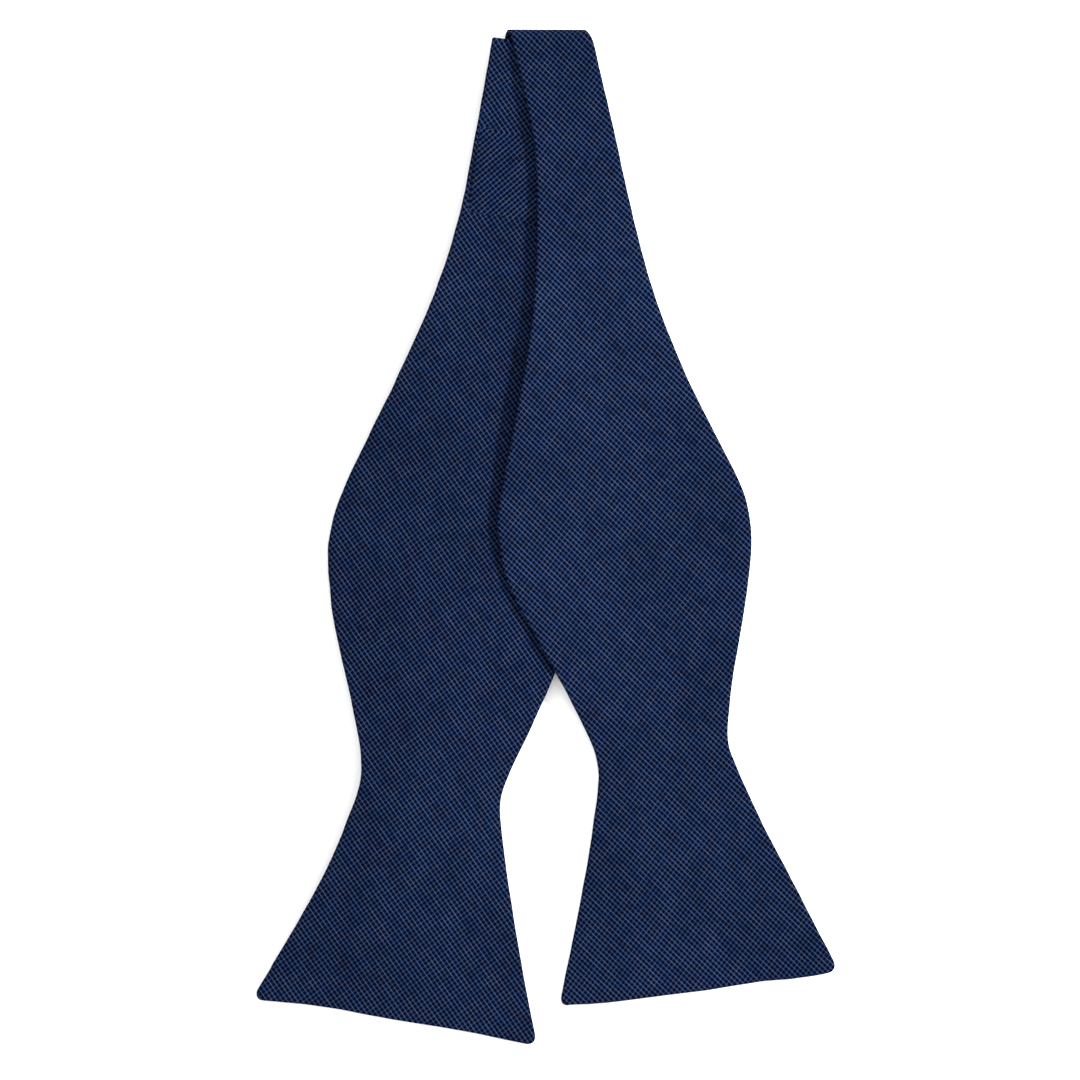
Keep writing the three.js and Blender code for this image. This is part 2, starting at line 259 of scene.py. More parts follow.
LEFT_PATH = Path(
    LEFT_BAND_Z,
    (TAIL_FOLD_RUN, 0),
    half_turn((LEFT_BAND_Z - LEFT_TAIL_Z) / 2, -1),
    (TAIL_FOLD_RUN - EYE_BAR_RUN, 0),
    half_turn(EYE_Z - LEFT_TAIL_Z, -1),
    (TAB, 0),
)
RIGHT_PATH = Path(
    STRAP_Z,
    (HOOK_BAR_RUN, 0),
    half_turn(RETURN_Z - HOOK_Z, 1),
    (HOOK_BAR_RUN - SLIDER_RUN, 0),
    half_turn(RETURN_Z - SLIDER_BAR_Z, 1),
    (TAB, 0),
)
STRAP_LENGTH = HOOK_BAR_RUN - TAB
HOOK_TURN_END = HOOK_BAR_RUN + math.pi * (RETURN_Z - HOOK_Z)
LOOP_LENGTH = HOOK_TURN_END + HOOK_BAR_RUN - HOOK_LOOP_RUN
RETURN_LENGTH = HOOK_TURN_END + HOOK_BAR_RUN - SLIDER_RUN - TAB


class Half:
    """One half of the tie. Its cloth points are (s, v): s along it from the crest of the top fold,
    positive towards the blade's tip and negative down the neckband, and v across it."""

    def __init__(
        self, fold, turn, skew, blade_z, band_z, outline, end, crest, path, check, seed
    ):
        self.fold = np.array(fold)
        self.turn, self.skew = turn, skew
        self.radius = (blade_z - band_z) / 2
        self.middle = (blade_z + band_z) / 2
        self.blade_z, self.band_z = blade_z, band_z
        self.arc = math.pi / 2 * self.radius
        self.fold_reach = self.arc / math.cos(skew)
        self.left = curve_through([(row[0], row[1]) for row in outline])
        self.right = curve_through([(row[0], row[2]) for row in outline])
        self.blade_length = outline[-1][0]
        self.end = np.array(end).T
        self.crest = crest
        self.path = path
        self.check = check
        self.seed = seed
        self.sinks = None

    def edges(self, along):
        """Left and right edge at distances below the fold; negative distances are the neckband."""
        uneven = EDGE_UNEVEN * ripple(along, 0, (5.0, 11.0, 23.0), self.seed)
        other = EDGE_UNEVEN * ripple(along, 0, (6.0, 13.0, 27.0), self.seed + 1)
        left = np.interp(along, *self.left.T) + uneven
        right = np.interp(along, *self.right.T) + other
        crest = -along / self.fold_reach
        crest_left, crest_right = self.crest
        on_band = smooth((-along - 2 * self.fold_reach) / BAND_REACH)
        on_blade = smooth(1 - crest)
        left = left * on_blade - crest_left * (1 - on_blade)
        right = right * on_blade + crest_right * (1 - on_blade)
        left = left * (1 - on_band) - BAND_HALF_WIDTH * on_band
        right = right * (1 - on_band) + BAND_HALF_WIDTH * on_band
        return left, right

    def cloth_grid(self, along, inset=0.0):
        """s, v and the distance to the sewn edge, for rows `along` and the columns across."""
        along = np.asarray(along, float)[:, None]
        from_end = self.blade_length - along
        left, right = self.edges(along)
        round_off = np.clip(CORNER_RADIUS - from_end, 0, CORNER_RADIUS)
        cut = CORNER_RADIUS - np.sqrt(CORNER_RADIUS**2 - round_off**2)
        left, right = left + cut + inset, right - cut - inset
        edge = np.array(EDGE_STEPS)
        inner = np.linspace(0, 1, ACROSS_CELLS + 1)[1:-1]
        v = np.hstack([
            left + edge,
            left + edge[-1] + inner * (right - left - 2 * edge[-1]),
            (right - edge)[:, ::-1],
        ])
        near_fold = self.fold_reach + along
        lean = math.tan(self.skew) * (1 - smooth((np.abs(near_fold) - self.fold_reach) / CREST_REACH))
        end = np.interp(v, *self.end) * smooth(1 - from_end / END_REACH)
        s = along + self.fold_reach + v * lean + end
        return s, v, np.minimum(np.minimum(v - left, right - v), from_end)

    def place(self, s, v, h):
        """Row-frame points of cloth points, h in front of the middle of the cloth."""
        k = self.skew
        off_line = -s * math.cos(k) + v * math.sin(k)
        turn = np.clip(off_line, -self.arc, self.arc) / self.radius
        x = s * math.sin(k) + v * math.cos(k)
        y = (self.radius + h) * np.cos(turn) - np.clip(-off_line - self.arc, 0, None)
        z = self.middle - (self.radius + h) * np.sin(turn)
        if self.sinks is not None:
            on_blade = off_line < -self.arc
            z = z - np.where(on_blade, self.sink_at(s - self.fold_reach, v), 0)
        band = off_line > self.arc
        run, path_z, heading = self.path.at(np.clip(-s - self.fold_reach, 0, None))
        early = np.minimum(-s - self.fold_reach, 0)
        run = run + early + h * np.sin(heading)
        drift = self.fold_reach * math.sin(k)
        x = np.where(band, -drift - run * math.sin(k) + v * math.cos(k), x)
        y = np.where(band, -run * math.cos(k) - v * math.sin(k), y)
        z = np.where(band, path_z - h * np.cos(heading), z)
        c, t = math.cos(self.turn), math.sin(self.turn)
        return np.stack([
            self.fold[0] + x * c - y * t,
            self.fold[1] + x * t + y * c,
            z,
        ], -1)

    def on_blade(self, x, y):
        """Distance below the fold and across the blade of row-frame points."""
        lean = self.turn + self.skew
        drift = self.fold_reach * math.sin(self.skew)
        x = x - self.fold[0] - drift * math.cos(self.turn)
        y = y - self.fold[1] - drift * math.sin(self.turn)
        return x * math.sin(lean) - y * math.cos(lean), x * math.cos(lean) + y * math.sin(lean)

    def on_band(self, x, y):
        """Distance below the fold and across the neckband of row-frame points."""
        lean = self.turn - self.skew
        drift = self.fold_reach * math.sin(self.skew)
        x = x - self.fold[0] + drift * math.cos(self.turn)
        y = y - self.fold[1] + drift * math.sin(self.turn)
        return x * math.sin(lean) - y * math.cos(lean), x * math.cos(lean) + y * math.sin(lean)

    def flat_on_band(self, run, v, z):
        """Row-frame points at runs down the neckband, v across it and z above the table."""
        lean = self.turn - self.skew
        drift = self.fold_reach * math.sin(self.skew)
        return np.stack([
            self.fold[0] - drift * math.cos(self.turn) + run * math.sin(lean) + v * math.cos(lean),
            self.fold[1] - drift * math.sin(self.turn) - run * math.cos(lean) + v * math.sin(lean),
            z,
        ], -1)

    def sink_at(self, along, v):
        low, step, grid = self.sinks
        return cubic_at(grid, along / step, (v - low) / step)


def cubic_at(grid, row, column):
    """Smooth interpolation of a grid at fractional rows and columns."""
    rows, columns = grid.shape
    row = np.clip(row, 1, rows - 2.001)
    column = np.clip(column, 1, columns - 2.001)
    i, j = np.floor(row).astype(int), np.floor(column).astype(int)
    total = 0
    for wi, di in zip(cubic_weights(row - i), (-1, 0, 1, 2)):
        for wj, dj in zip(cubic_weights(column - j), (-1, 0, 1, 2)):
            near = np.clip(i + di, 0, rows - 1), np.clip(j + dj, 0, columns - 1)
            total = total + wi * wj * grid[near]
    return total


def cubic_weights(t):
    return (
        (-t + 2 * t**2 - t**3) / 2,
        (2 - 5 * t**2 + 3 * t**3) / 2,
        (t + 4 * t**2 - 3 * t**3) / 2,
        (t**3 - t**2) / 2,
    )


left_half = Half(
    LEFT_FOLD, LEFT_FOLD_TURN, 0.0, LEFT_BLADE_Z, LEFT_BAND_Z,
    LEFT_OUTLINE, LEFT_END, LEFT_CREST, LEFT_PATH, LEFT_CHECK, seed=11,
)
right_half = Half(
    RIGHT_FOLD, RIGHT_FOLD_TURN, RIGHT_SKEW, RIGHT_BLADE_Z, STRAP_Z,
    RIGHT_OUTLINE, RIGHT_END, RIGHT_CREST, RIGHT_PATH, RIGHT_CHECK, seed=23,
)


# Drape: each blade is a heavy, springy sheet held at its fold and laid on what is under it


def bending_pull(z, along_weight, across_weight, twist_weight):
    """How hard the sheet's stiffness pushes each point of the grid z back towards flat."""
    pull = np.zeros_like(z)
    bend = along_weight * (z[2:] - 2 * z[1:-1] + z[:-2])
    pull[2:] += bend
    pull[1:-1] -= 2 * bend
    pull[:-2] += bend
    bend = across_weight * (z[:, 2:] - 2 * z[:, 1:-1] + z[:, :-2])
    pull[:, 2:] += bend
    pull[:, 1:-1] -= 2 * bend
    pull[:, :-2] += bend
    twist = twist_weight * (z[1:, 1:] - z[1:, :-1] - z[:-1, 1:] + z[:-1, :-1])
    pull[1:, 1:] += twist
    pull[1:, :-1] -= twist
    pull[:-1, 1:] -= twist
    pull[:-1, :-1] += twist
    return pull


def drape(half, support):
    """Sets how far the blade sinks. `support` gives the lowest its middle may be at points x, y."""
    step = DRAPE_STEP
    rows = int(half.blade_length / step) + 3
    low = -DRAPE_HALF_WIDTH
    columns = int(-2 * low / step) + 1
    along, v = np.meshgrid(
        np.arange(rows) * step, low + np.arange(columns) * step, indexing="ij"
    )
    left, right = half.edges(along)
    inside = (v > left - step / 2) & (v < right + step / 2)
    inside &= along < half.blade_length + step / 2
    lean = half.turn + half.skew
    drift = half.fold_reach * math.sin(half.skew)
    x = half.fold[0] + drift + along * math.sin(lean) + v * math.cos(lean)
    y = half.fold[1] - along * math.cos(lean) + v * math.sin(lean)
    floor = np.where(inside, support(x, y), 0)
    share = np.where(inside, 1.0, SHARE_OUTSIDE)
    along_weight = np.minimum(np.minimum(share[2:], share[1:-1]), share[:-2])
    across_weight = np.minimum(np.minimum(share[:, 2:], share[:, 1:-1]), share[:, :-2])
    twist_weight = 2 * np.minimum(
        np.minimum(share[1:, 1:], share[1:, :-1]), np.minimum(share[:-1, 1:], share[:-1, :-1])
    )
    weight = inside * step**4 / BENDING_LENGTH**3
    held = along <= step
    z = np.full((rows, columns), half.blade_z)
    ahead, pace = z.copy(), 1.0
    for _ in range(DRAPE_TURNS):
        pull = bending_pull(ahead, along_weight, across_weight, twist_weight) + weight
        new = np.maximum(ahead - pull / STIFFEST, floor)
        new[held] = half.blade_z
        if np.sum(pull * (new - z)) > 0:
            pace = 1.0
        next_pace = (1 + math.sqrt(1 + 4 * pace**2)) / 2
        ahead = new + (pace - 1) / next_pace * (new - z)
        z, pace = new, next_pace
    half.sinks = (low, step, half.blade_z - z)


def band_sag(run):
    """The left band's sag between the top fold and the slider."""
    return BAND_SAG * np.sin(math.pi * np.clip(run / BAND_SAG_RUN, 0, 1)) ** 2


def neckband_top(x, y):
    """Height of the top of the neckband's layers at points of the row frame."""
    top = np.zeros_like(x)
    run, v = right_half.on_band(x, y)
    on_strap = (np.abs(v) < BAND_HALF_WIDTH) & (run > 0)
    top = np.where(on_strap & (run < HOOK_BAR_RUN), STRAP_Z + TUBE / 2, top)
    returned = (run > SLIDER_RUN) & (run < HOOK_BAR_RUN)
    top = np.where(on_strap & returned, RETURN_Z + DOUBLE_CLOTH / 2, top)
    run, v = left_half.on_band(x, y)
    on_band = (np.abs(v) < BAND_HALF_WIDTH) & (run > 0) & (run < TAIL_FOLD_RUN + 2)
    return np.where(on_band, LEFT_BAND_Z - band_sag(run) + TUBE / 2, top)


def under_left_blade(x, y):
    return neckband_top(x, y) + TUBE / 2 + TABLE_GAP


def under_right_blade(x, y):
    along, v = left_half.on_blade(x, y)
    left, right = left_half.edges(along)
    over = (v > left) & (v < right) & (along > 0) & (along < left_half.blade_length)
    blade_top = left_half.blade_z - left_half.sink_at(along, v) + TUBE / 2 + BLADE_GAP - TABLE_GAP
    top = np.where(over, blade_top, neckband_top(x, y))
    return top + TUBE / 2 + TABLE_GAP


drape(left_half, under_left_blade)
drape(right_half, under_right_blade)


# Meshes


def mesh_object(name, points, faces, coordinates=None, normals=None):
    """A smooth mesh from points in mm. `coordinates` are its cloth coordinates, point by point."""
    mesh = bpy.data.meshes.new(name)
    mesh.from_pydata((points * MM).tolist(), [], faces)
    mesh.shade_smooth()
    if coordinates is not None:
        layer = mesh.uv_layers.new(name="cloth")
        loops = np.zeros(len(mesh.loops), int)
        mesh.loops.foreach_get("vertex_index", loops)
        layer.data.foreach_set("uv", coordinates[loops].astype(np.float32).ravel())
    if normals is not None:
        mesh.normals_split_custom_set_from_vertices(normals.tolist())
    made = bpy.data.objects.new(name, mesh)
    bpy.context.scene.collection.objects.link(made)
    return made


def grid_normals(points, up):
    """Normals of a grid of points, on the side that `up` (1 or -1) says."""
    down_rows = np.gradient(points, axis=0)
    across = np.gradient(points, axis=1)
    normal = np.cross(across, down_rows) * up
    length = np.linalg.norm(normal, axis=-1, keepdims=True)
    return normal / np.maximum(length, 1e-9)


def closed_sheet(name, outer, inner, coordinates, normals):
    """A closed sheet between two grids of points that share their rows and columns."""
    rows, columns = outer.shape[:2]
    at = np.arange(rows * columns).reshape(rows, columns)
    far = at + rows * columns
    quads = np.stack([at[:-1, :-1], at[:-1, 1:], at[1:, 1:], at[1:, :-1]], -1).reshape(-1, 4)
    faces = [quads, (quads + rows * columns)[:, ::-1]]
    rim = np.concatenate([at[0, :-1], at[:-1, -1], at[-1, :0:-1], at[:0:-1, 0]])
    rim_far = np.concatenate([far[0, :-1], far[:-1, -1], far[-1, :0:-1], far[:0:-1, 0]])
    faces.append(np.stack([np.roll(rim, -1), rim, rim_far, np.roll(rim_far, -1)], -1))
    faces = np.vstack(faces)
    points = np.vstack([outer.reshape(-1, 3), inner.reshape(-1, 3)])
    coordinates = np.vstack([coordinates.reshape(-1, 2)] * 2)
    both = np.vstack([normals.reshape(-1, 3), -normals.reshape(-1, 3)])
    a, b, c = points[quads[len(quads) // 2][:3]]
    faces_in = np.dot(np.cross(b - a, c - a), normals.reshape(-1, 3)[quads[len(quads) // 2][0]]) < 0
    if faces_in:
        faces = faces[:, ::-1]
    return mesh_object(name, points, faces.tolist(), coordinates, both)


def cloth_height(half, s, v, edge, half_thickness, layer):
    """Height of a cloth's outer and inner face in front of the middle of the tube."""
    roll = np.sqrt(1 - (1 - np.clip(edge / EDGE_ROLL, 0, 1)) ** 2)
    fold = smooth((np.abs(s) - half.fold_reach - 2) / 8)
    allowance = smooth(edge / ALLOWANCE_RISE) * smooth((ALLOWANCE - edge) / ALLOWANCE_FALL)
    ridge = ALLOWANCE_HEIGHT * (allowance - 1) * fold
    outer = SEAM + (half_thickness - SEAM + ridge) * roll
    lining_roll = np.sqrt(1 - (1 - np.clip((edge - LINING_TUCK) / EDGE_ROLL, 0, 1)) ** 2)
    inner = SEAM_INNER + (half_thickness - CLOTH - SEAM_INNER + ridge) * lining_roll
    return outer * layer, inner * layer


def check_coordinates(half, s, v):
    """Yarn counts across the two families of light yarns."""
    one, two = half.check
    return np.stack([
        (v * math.cos(one) - s * math.sin(one)) / CHECK_PITCH,
        (v * math.cos(two) - s * math.sin(two)) / CHECK_PITCH,
    ], -1)


def rows_between(start, end, from_end=None):
    """Rows about ROW apart, and closer towards the blade's sewn end."""
    if from_end is None:
        return np.linspace(start, end, max(2, int(abs(end - start) / ROW) + 1))
    steps = from_end - np.array(END_STEPS)[::-1]
    return np.concatenate([np.linspace(start, steps[0], int((steps[0] - start) / ROW))[:-1], steps])


def relief(half, s, v):
    """Slight unevenness of the pressed cloth, none at the fold."""
    away = smooth((np.abs(s) - half.fold_reach - 3) / 12)
    return RELIEF * away * ripple(s, v, (17.0, 29.0, 47.0), half.seed + 5)


def cloth_piece(name, half, rows, layer, half_thickness=TUBE / 2):
    """One cloth of the tube over the rows given: layer is 1 for the front, -1 for the back."""
    along = np.asarray(rows, float)
    step = 0.5 * np.sign(along[-1] - along[0])
    longer = np.concatenate([[along[0] - step], along, [along[-1] + step]])
    longer = np.minimum(longer, half.blade_length)
    s, v, edge = half.cloth_grid(longer)
    outer, inner = cloth_height(half, s, v, edge, half_thickness, layer)
    wave = relief(half, s, v)
    points = half.place(s, v, outer + wave)
    under = half.place(s, v, inner + wave)
    normals = grid_normals(points, 1)
    middle = half.place(s, v, inner * 0 + wave)
    outward = points - middle
    if (np.sum(normals * outward, -1)).mean() < 0:
        normals = -normals
    coordinates = check_coordinates(half, s, v)
    keep = slice(1, -1)
    return closed_sheet(name, points[keep], under[keep], coordinates[keep], normals[keep])


def lining_piece(name, half, rows):
    along = np.asarray(rows, float)
    s, v, _ = half.cloth_grid(along, ENCLOSURE_INSET)
    wave = relief(half, s, v)
    top = half.place(s, v, wave + INTERLINING / 2)
    bottom = half.place(s, v, wave - INTERLINING / 2)
    normals = grid_normals(top, 1)
    if (np.sum(normals * (top - bottom), -1)).mean() < 0:
        normals = -normals
    return closed_sheet(name, top, bottom, check_coordinates(half, s, v), normals)


def ribbon_piece(name, half, start, end):
    """The size tape: a narrow woven ribbon that follows the neckband's upper face."""
    run, v = np.meshgrid(
        np.linspace(start, end, 65), np.linspace(-TAPE_WIDTH / 2, TAPE_WIDTH / 2, 17), indexing="ij"
    )
    s = -half.fold_reach - run
    selvedge = smooth((np.abs(v) - TAPE_WIDTH / 2 + 0.7) / 0.5) * 0.03
    lift = relief(half, s, v) - TAPE_ABOVE_STRAP
    top = half.place(s, v, lift - TAPE_THICKNESS / 2 - selvedge)
    bottom = half.place(s, v, lift + TAPE_THICKNESS / 2)
    normals = grid_normals(top, 1)
    if normals[..., 2].mean() < 0:
        normals = -normals
    return closed_sheet(name, top, bottom, np.stack([v, run], -1), normals)


def stitch_piece(name, half, run, middle, height):
    """A bar tack: close stitches side by side across the band, over a core of thread."""
    along, v = np.meshgrid(
        np.linspace(-TACK_WIDTH, 0, 11),
        np.linspace(-TACK_LENGTH / 2, TACK_LENGTH / 2, int(8 * TACK_LENGTH / STITCH_PITCH) + 1),
        indexing="ij",
    )
    across_stitch = np.abs(np.sin(math.pi * v / STITCH_PITCH))
    rounded = np.sqrt(1 - (2 * along / TACK_WIDTH + 1) ** 2)
    uneven = 1 - 0.06 * (1 + ripple(along, v, (1.1, 2.3), half.seed + 9)) / 2
    swell = height / 2 * (0.3 + 0.7 * rounded * (0.6 + 0.4 * across_stitch)) * uneven
    top = half.flat_on_band(run + along, v, middle + swell)
    bottom = half.flat_on_band(run + along, v, middle - swell)
    normals = grid_normals(top, 1)
    if normals[..., 2].mean() < 0:
        normals = -normals
    return closed_sheet(name, top, bottom, np.stack([v, along], -1), normals)


# Materials

GROUND_BLUE = (0.0003, 0.0014, 0.0078, 1)
GROUND_BLACK = (0.0003, 0.001, 0.005, 1)
YARN_BLUE = (0.0145, 0.029, 0.075, 1)
YARN_GREY = (0.0215, 0.0315, 0.067, 1)


class Shader:
    """A material and short ways to add nodes to it."""

    def __init__(self, name):
        self.material = bpy.data.materials.new(name)
        self.material.use_nodes = True
        self.tree = self.material.node_tree
        self.surface = self.tree.nodes["Principled BSDF"]

    def link(self, value, socket):
        if isinstance(value, bpy.types.NodeSocket):
            self.tree.links.new(value, socket)
        else:
            socket.default_value = value

    def node(self, kind, inputs=(), output=0, **settings):
        made = self.tree.nodes.new(kind)
        for key, value in settings.items():
            setattr(made, key, value)
        for key, value in dict(inputs).items():
            self.link(value, made.inputs[key])
        return made.outputs[output]

    def math(self, operation, a, b=0.0, c=0.0):
        return self.node("ShaderNodeMath", {0: a, 1: b, 2: c}, operation=operation)

    def ramp(self, value, low, high, to_low=0.0, to_high=1.0, kind="SMOOTHSTEP"):
        return self.node(
            "ShaderNodeMapRange",
            {"Value": value, 1: low, 2: high, 3: to_low, 4: to_high},
            interpolation_type=kind,
        )

    def mix(self, share, a, b):
        return self.node("ShaderNodeMix", {0: share, 6: a, 7: b}, output=2, data_type="RGBA")

    def vector(self, x, y, z=0.0):
        return self.node("ShaderNodeCombineXYZ", {0: x, 1: y, 2: z})

    def noise(self, vector, scale, detail=2.0, roughness=0.5):
        return self.node(
            "ShaderNodeTexNoise",
            {"Vector": vector, "Scale": scale, "Detail": detail, "Roughness": roughness},
        )

    def coordinates(self, name="cloth"):
        where = self.node("ShaderNodeUVMap", uv_map=name)
        split = self.tree.nodes.new("ShaderNodeSeparateXYZ")
        self.tree.links.new(where, split.inputs[0])
        return where, split.outputs[0], split.outputs[1]

    def bump(self, height, distance, strength=1.0):
        normal = self.node(
            "ShaderNodeBump", {"Height": height, "Distance": distance, "Strength": strength}
        )
        self.link(normal, self.surface.inputs["Normal"])

    def finish(self, **inputs):
        for key, value in inputs.items():
            self.link(value, self.surface.inputs[key.replace("_", " ")])
        return self.material


def light_yarns(shader, across, along, seed):
    """0 on the ground and up to 1 on each light yarn of one family, uneven along the yarn."""
    cell = shader.math("FLOOR", across)
    off = shader.math("ABSOLUTE", shader.math("SUBTRACT", shader.math("FRACT", across), 0.5))
    line = shader.ramp(off, 0.06, 0.185, 1.0, 0.0)
    where = shader.vector(
        shader.math("MULTIPLY_ADD", cell, 3.71, seed), shader.math("MULTIPLY", along, 0.16)
    )
    uneven = shader.ramp(shader.noise(where, 1.0, 2.0, 0.7), 0.3, 0.7, 0.45, 1.45, "LINEAR")
    pin = shader.math("COSINE", shader.math("MULTIPLY", shader.math("SUBTRACT", along, 0.5), math.tau))
    pins = shader.math("MULTIPLY_ADD", pin, 0.16, 0.84)
    return shader.math("MULTIPLY", shader.math("MULTIPLY", line, uneven), pins), line


def navy_check():
    shader = Shader("navy_check")
    where, one, two = shader.coordinates()
    strong, strong_line = light_yarns(shader, one, two, 0.0)
    weak, weak_line = light_yarns(shader, two, one, 57.3)
    light = shader.math("MULTIPLY_ADD", weak, 0.46, shader.math("MULTIPLY", strong, 0.9))
    fibres = shader.ramp(shader.noise(where, 2.6, 3.0, 0.7), 0.3, 0.7, 0.6, 1.4, "LINEAR")
    patches = shader.ramp(shader.noise(where, 0.045, 3.0, 0.6), 0.3, 0.7, 0.86, 1.14, "LINEAR")
    tint = shader.ramp(shader.noise(where, 0.5, 2.0, 0.6), 0.38, 0.62)
    ground = shader.mix(tint, GROUND_BLUE, GROUND_BLACK)
    yarn = shader.mix(shader.ramp(shader.noise(where, 0.33, 2.0), 0.4, 0.6), YARN_BLUE, YARN_GREY)
    color = shader.mix(shader.node("ShaderNodeClamp", {0: light}), ground, yarn)
    level = shader.math("MULTIPLY", fibres, patches)
    color = shader.node(
        "ShaderNodeVectorMath", {0: color, 3: level}, operation="SCALE"
    )
    height = shader.math("ADD", strong_line, weak_line)
    height = shader.math("MULTIPLY_ADD", fibres, 0.35, height)
    shader.bump(height, 0.05 * MM, 0.6)
    return shader.finish(
        Base_Color=color,
        Roughness=0.85,
        Specular_IOR_Level=0.004,
        Sheen_Weight=0.005,
        Sheen_Roughness=0.5,
        Sheen_Tint=(0.55, 0.7, 1.0, 1.0),
    )


def canvas():
    shader = Shader("interlining")
    _, one, two = shader.coordinates()
    threads = shader.math(
        "MULTIPLY",
        shader.math("SINE", shader.math("MULTIPLY", one, 2.5 * math.tau)),
        shader.math("SINE", shader.math("MULTIPLY", two, 2.5 * math.tau)),
    )
    color = shader.mix(
        shader.ramp(threads, -1.0, 1.0), (0.55, 0.5, 0.4, 1), (0.72, 0.68, 0.58, 1)
    )
    shader.bump(threads, 0.06 * MM)
    return shader.finish(Base_Color=color, Roughness=0.95)


def tape_weave():
    shader = Shader("tape")
    _, _, down_tape = shader.coordinates()
    ribs = shader.math("SINE", shader.math("MULTIPLY", down_tape, 2.2 * math.tau))
    color = shader.mix(
        shader.ramp(ribs, -1.0, 1.0), (0.26, 0.255, 0.235, 1), (0.42, 0.41, 0.385, 1)
    )
    shader.bump(ribs, 0.04 * MM)
    return shader.finish(Base_Color=color, Roughness=0.8, Sheen_Weight=0.2)


def nickel():
    shader = Shader("nickel")
    where = shader.node("ShaderNodeTexCoord", output=3)
    worn = shader.noise(where, 900.0, 4.0, 0.65)
    fine = shader.noise(where, 9000.0, 2.0)
    shader.bump(fine, 0.004 * MM)
    color = shader.mix(worn, (0.4, 0.385, 0.355, 1), (0.52, 0.505, 0.48, 1))
    return shader.finish(
        Base_Color=color, Metallic=1.0, Roughness=shader.ramp(worn, 0.3, 0.7, 0.16, 0.34)
    )


def thread():
    shader = Shader("thread")
    where = shader.node("ShaderNodeTexCoord", output=3)
    twist = shader.noise(where, 4000.0, 2.0)
    color = shader.mix(twist, (0.004, 0.007, 0.02, 1), (0.012, 0.02, 0.05, 1))
    shader.bump(twist, 0.03 * MM)
    return shader.finish(Base_Color=color, Roughness=0.6, Sheen_Weight=0.1)


NAVY_CHECK = navy_check()
CANVAS = canvas()
TAPE = tape_weave()
NICKEL = nickel()
THREAD = thread()


def dressed(piece, material, slot, *nodes):
    """Gives a piece its material and hides the CAD nodes it stands for; slot is not used."""
    piece.data.materials.append(material)
    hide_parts(*nodes)
    return piece


# Blades, folds and the left band


def flat_area(half):
    """Flat area of a blade in square metres."""
    along = np.linspace(0, half.blade_length, 400)
    left, right = half.edges(along)
    return float(np.mean(right - left)) * half.blade_length * MM * MM


def three_layers(name, half, rows, lining_rows, front="front", back="back"):
    """Front cloth, back cloth and interlining of a blade or a fold."""
    return [
        dressed(
            cloth_piece(f"{name}_front_cloth", half, rows, 1),
            NAVY_CHECK, "navy_check", f"{name}_{front}_shell",
        ),
        dressed(
            cloth_piece(f"{name}_back_cloth", half, rows, -1),
            NAVY_CHECK, "navy_check", f"{name}_{back}_shell",
        ),
        dressed(
            lining_piece(f"{name}_lining", half, lining_rows),
            CANVAS, "interlining", f"{name}_interlining",
        ),
    ]


def blade_pieces(side, half, body):
    """The blade's layers, on the blade's body."""
    rows = rows_between(0, half.blade_length, half.blade_length)
    lining_rows = rows_between(LINING_GAP, half.blade_length - ENCLOSURE_INSET)
    made = three_layers(f"{side}_blade", half, rows, lining_rows)
    for piece in made:
        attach(piece, body)
        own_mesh(piece)
    return made


def fold_pieces(side, half):
    """The layers of a top fold, curved round from the neckband to the blade."""
    length = 2 * half.fold_reach
    rows = np.linspace(0, -length, FOLD_ROWS)
    lining_rows = np.linspace(-FOLD_LINING_GAP, FOLD_LINING_GAP - length, FOLD_ROWS - 2)
    made = three_layers(f"{side}_fold", half, rows, lining_rows, "outer", "inner")
    for piece in made:
        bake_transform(piece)
    return made


def band_rows(half, start, end):
    """Rows of the neckband between two distances along its path from the fold, close at turns."""
    known, _, _, _ = half.path.rows
    marks = [start, end, *known[(known > start) & (known < end)]]
    rows = np.concatenate([np.arange(start, end, ROW), marks])
    rows = np.unique(np.round(rows, 4))
    keep = np.concatenate([[True], np.diff(rows) > 0.05])
    keep[-1] = True
    return -2 * half.fold_reach - rows[keep]


def band_cloth(part, layer, half, ends, node, half_thickness=TUBE / 2):
    """One cloth of a stretch of neckband, between two distances along its path."""
    side = 1 if layer == "front" else -1
    rows = band_rows(half, *ends)
    return dressed(
        cloth_piece(f"{part}_{layer}_cloth", half, rows, side, half_thickness),
        NAVY_CHECK, "navy_check", node,
    )


for side, half, band, blade_body, beneath in (
    ("left", left_half, "left_band", "left_blade", "left_band_back_cloth"),
    ("right", right_half, "strap", "right_blade", "left_blade_front_cloth"),
):
    blade_layers = blade_pieces(side, half, blade_body)
    fold_layers = fold_pieces(side, half)
    for blade_layer, fold_layer in zip(blade_layers, fold_layers):
        flat_area(half)

for layer in ("front", "back"):
    band = band_cloth(
        "left_band", layer, left_half, (0, LEFT_PATH.length), f"left_band_{layer}_shell"
    )
    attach(band, "left_band")
    strap = band_cloth("strap", layer, right_half, (0, STRAP_LENGTH), f"strap_{layer}_shell")
    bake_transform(strap)
    loop = band_cloth(
        "strap_loop", layer, right_half, (STRAP_LENGTH, LOOP_LENGTH),
        f"strap_return_{layer}_shell", DOUBLE_CLOTH / 2,
    )
    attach(loop, "hook")
    returned = band_cloth(
        "strap_return", layer, right_half, (LOOP_LENGTH, RETURN_LENGTH),
        f"strap_return_{layer}_shell", DOUBLE_CLOTH / 2,
    )
    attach(returned, "hook")
    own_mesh(returned)
    end = band_cloth(
        "strap_end", layer, right_half, (RETURN_LENGTH, RIGHT_PATH.length), "strap_end",
        DOUBLE_CLOTH / 2,
    )
    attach(end, "slider")

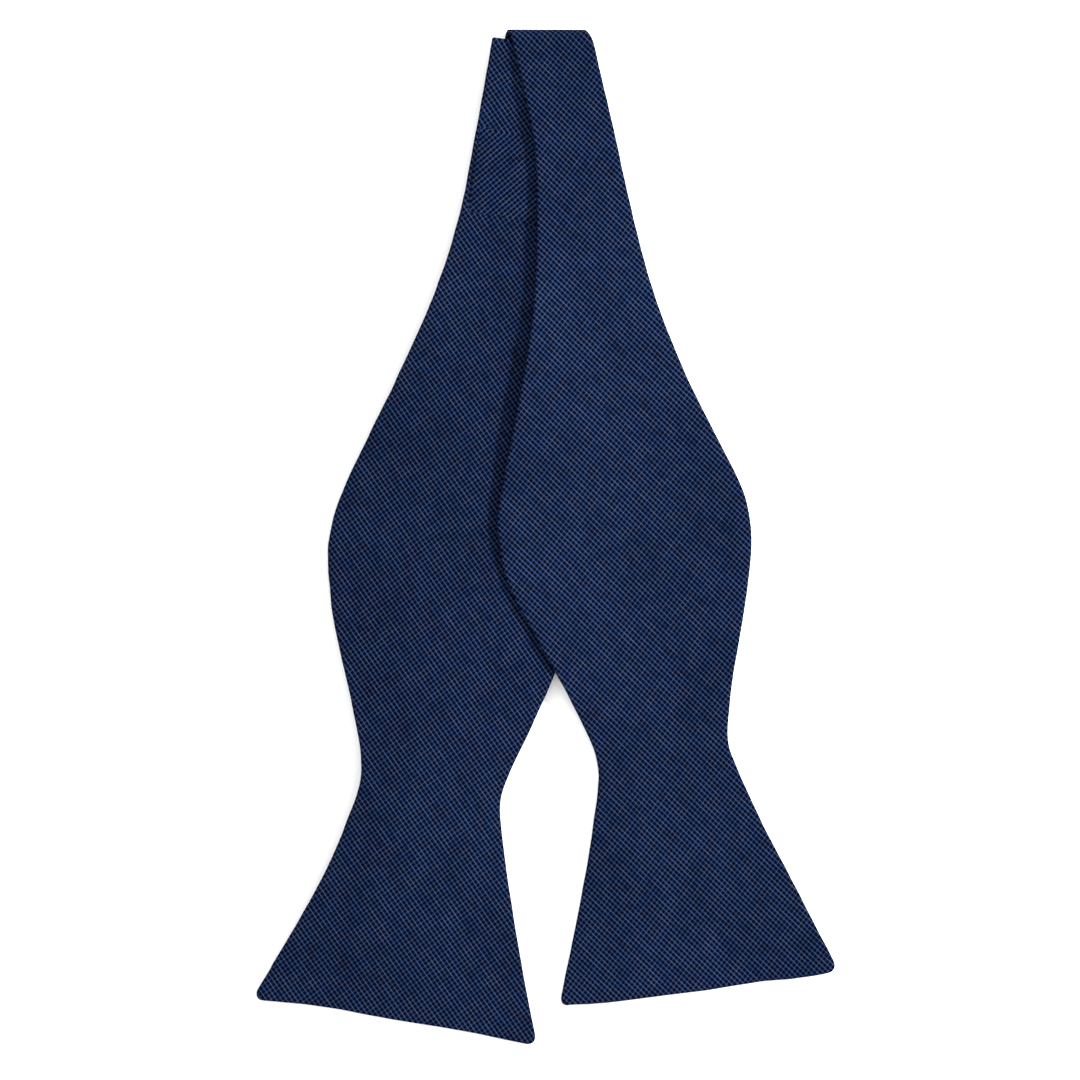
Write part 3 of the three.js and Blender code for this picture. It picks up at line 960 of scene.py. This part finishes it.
band_lining = dressed(
    lining_piece("left_band_lining", left_half, band_rows(left_half, 0, BAND_LINING_LENGTH)),
    CANVAS, "interlining", "left_band_interlining",
)
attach(band_lining, "left_band")
strap_lining = dressed(
    lining_piece("strap_lining", right_half, band_rows(right_half, 0, STRAP_LENGTH)),
    CANVAS, "interlining", "strap_interlining",
)
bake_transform(strap_lining)

tape = dressed(
    ribbon_piece("size_tape_ribbon", right_half, TAPE_START, TAPE_END), TAPE, "tape", "size_tape"
)
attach(tape, "strap")

for name, half, run, middle, height, body in (
    ("eye_bar_tack", left_half, EYE_BAR_RUN + TACK_RUN, EYE_Z, EYE_TACK_HEIGHT, "left_band"),
    ("slider_bar_tack", right_half, SLIDER_RUN + TACK_RUN, SLIDER_BAR_Z, SLIDER_TACK_HEIGHT,
     "slider"),
):
    stitches = dressed(
        stitch_piece(f"{name}_stitches", half, run, middle, height), THREAD, "thread", name
    )
    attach(stitches, body)

# Metal

for node in ("hook", "eye", "slider"):
    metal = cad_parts[node]
    metal.data.materials.clear()
    metal.data.materials.append(NICKEL)
    bevel = metal.modifiers.new("worn edges", "BEVEL")
    bevel.width = WORN_EDGE * MM
    bevel.segments = 2
    bevel.limit_method = "ANGLE"

# Table, light and camera

bpy.ops.mesh.primitive_plane_add(size=TABLE_SIZE, location=(0, 0, -TABLE_DROP * MM))
table = bpy.context.object
table.name = "table"
table_top = Shader("table_top")
table.data.materials.append(
    table_top.finish(Base_Color=(0.9, 0.9, 0.9, 1), Roughness=0.9, Specular_IOR_Level=0.1)
)

world = bpy.data.worlds.new("studio")
bpy.context.scene.world = world
world.use_nodes = True
world.node_tree.nodes["Background"].inputs["Color"].default_value = (1, 1, 1, 1)
world.node_tree.nodes["Background"].inputs["Strength"].default_value = WORLD_STRENGTH

key = bpy.data.lights.new("key", "AREA")
key.shape = "DISK"
key.size = KEY_SIZE
key.energy = KEY_ENERGY
key_light = bpy.data.objects.new("key", key)
bpy.context.scene.collection.objects.link(key_light)
key_light.location = KEY_DISTANCE * Vector((
    math.cos(KEY_AZIMUTH) * math.cos(KEY_HEIGHT),
    math.sin(KEY_AZIMUTH) * math.cos(KEY_HEIGHT),
    math.sin(KEY_HEIGHT),
))
key_light.rotation_euler = key_light.location.to_track_quat("Z", "Y").to_euler()

camera = bpy.data.cameras.new("camera")
camera.lens = LENS
camera.sensor_width = SENSOR
camera.clip_end = 100
view = bpy.data.objects.new("camera", camera)
bpy.context.scene.collection.objects.link(view)
view.location = Vector((
    FRAME_CENTRE[0] * MM, FRAME_CENTRE[1] * MM, (FRAME_WIDTH * LENS / SENSOR + FOCUS_Z) * MM
))
bpy.context.scene.camera = view
bpy.context.scene.view_settings.view_transform = "Standard"
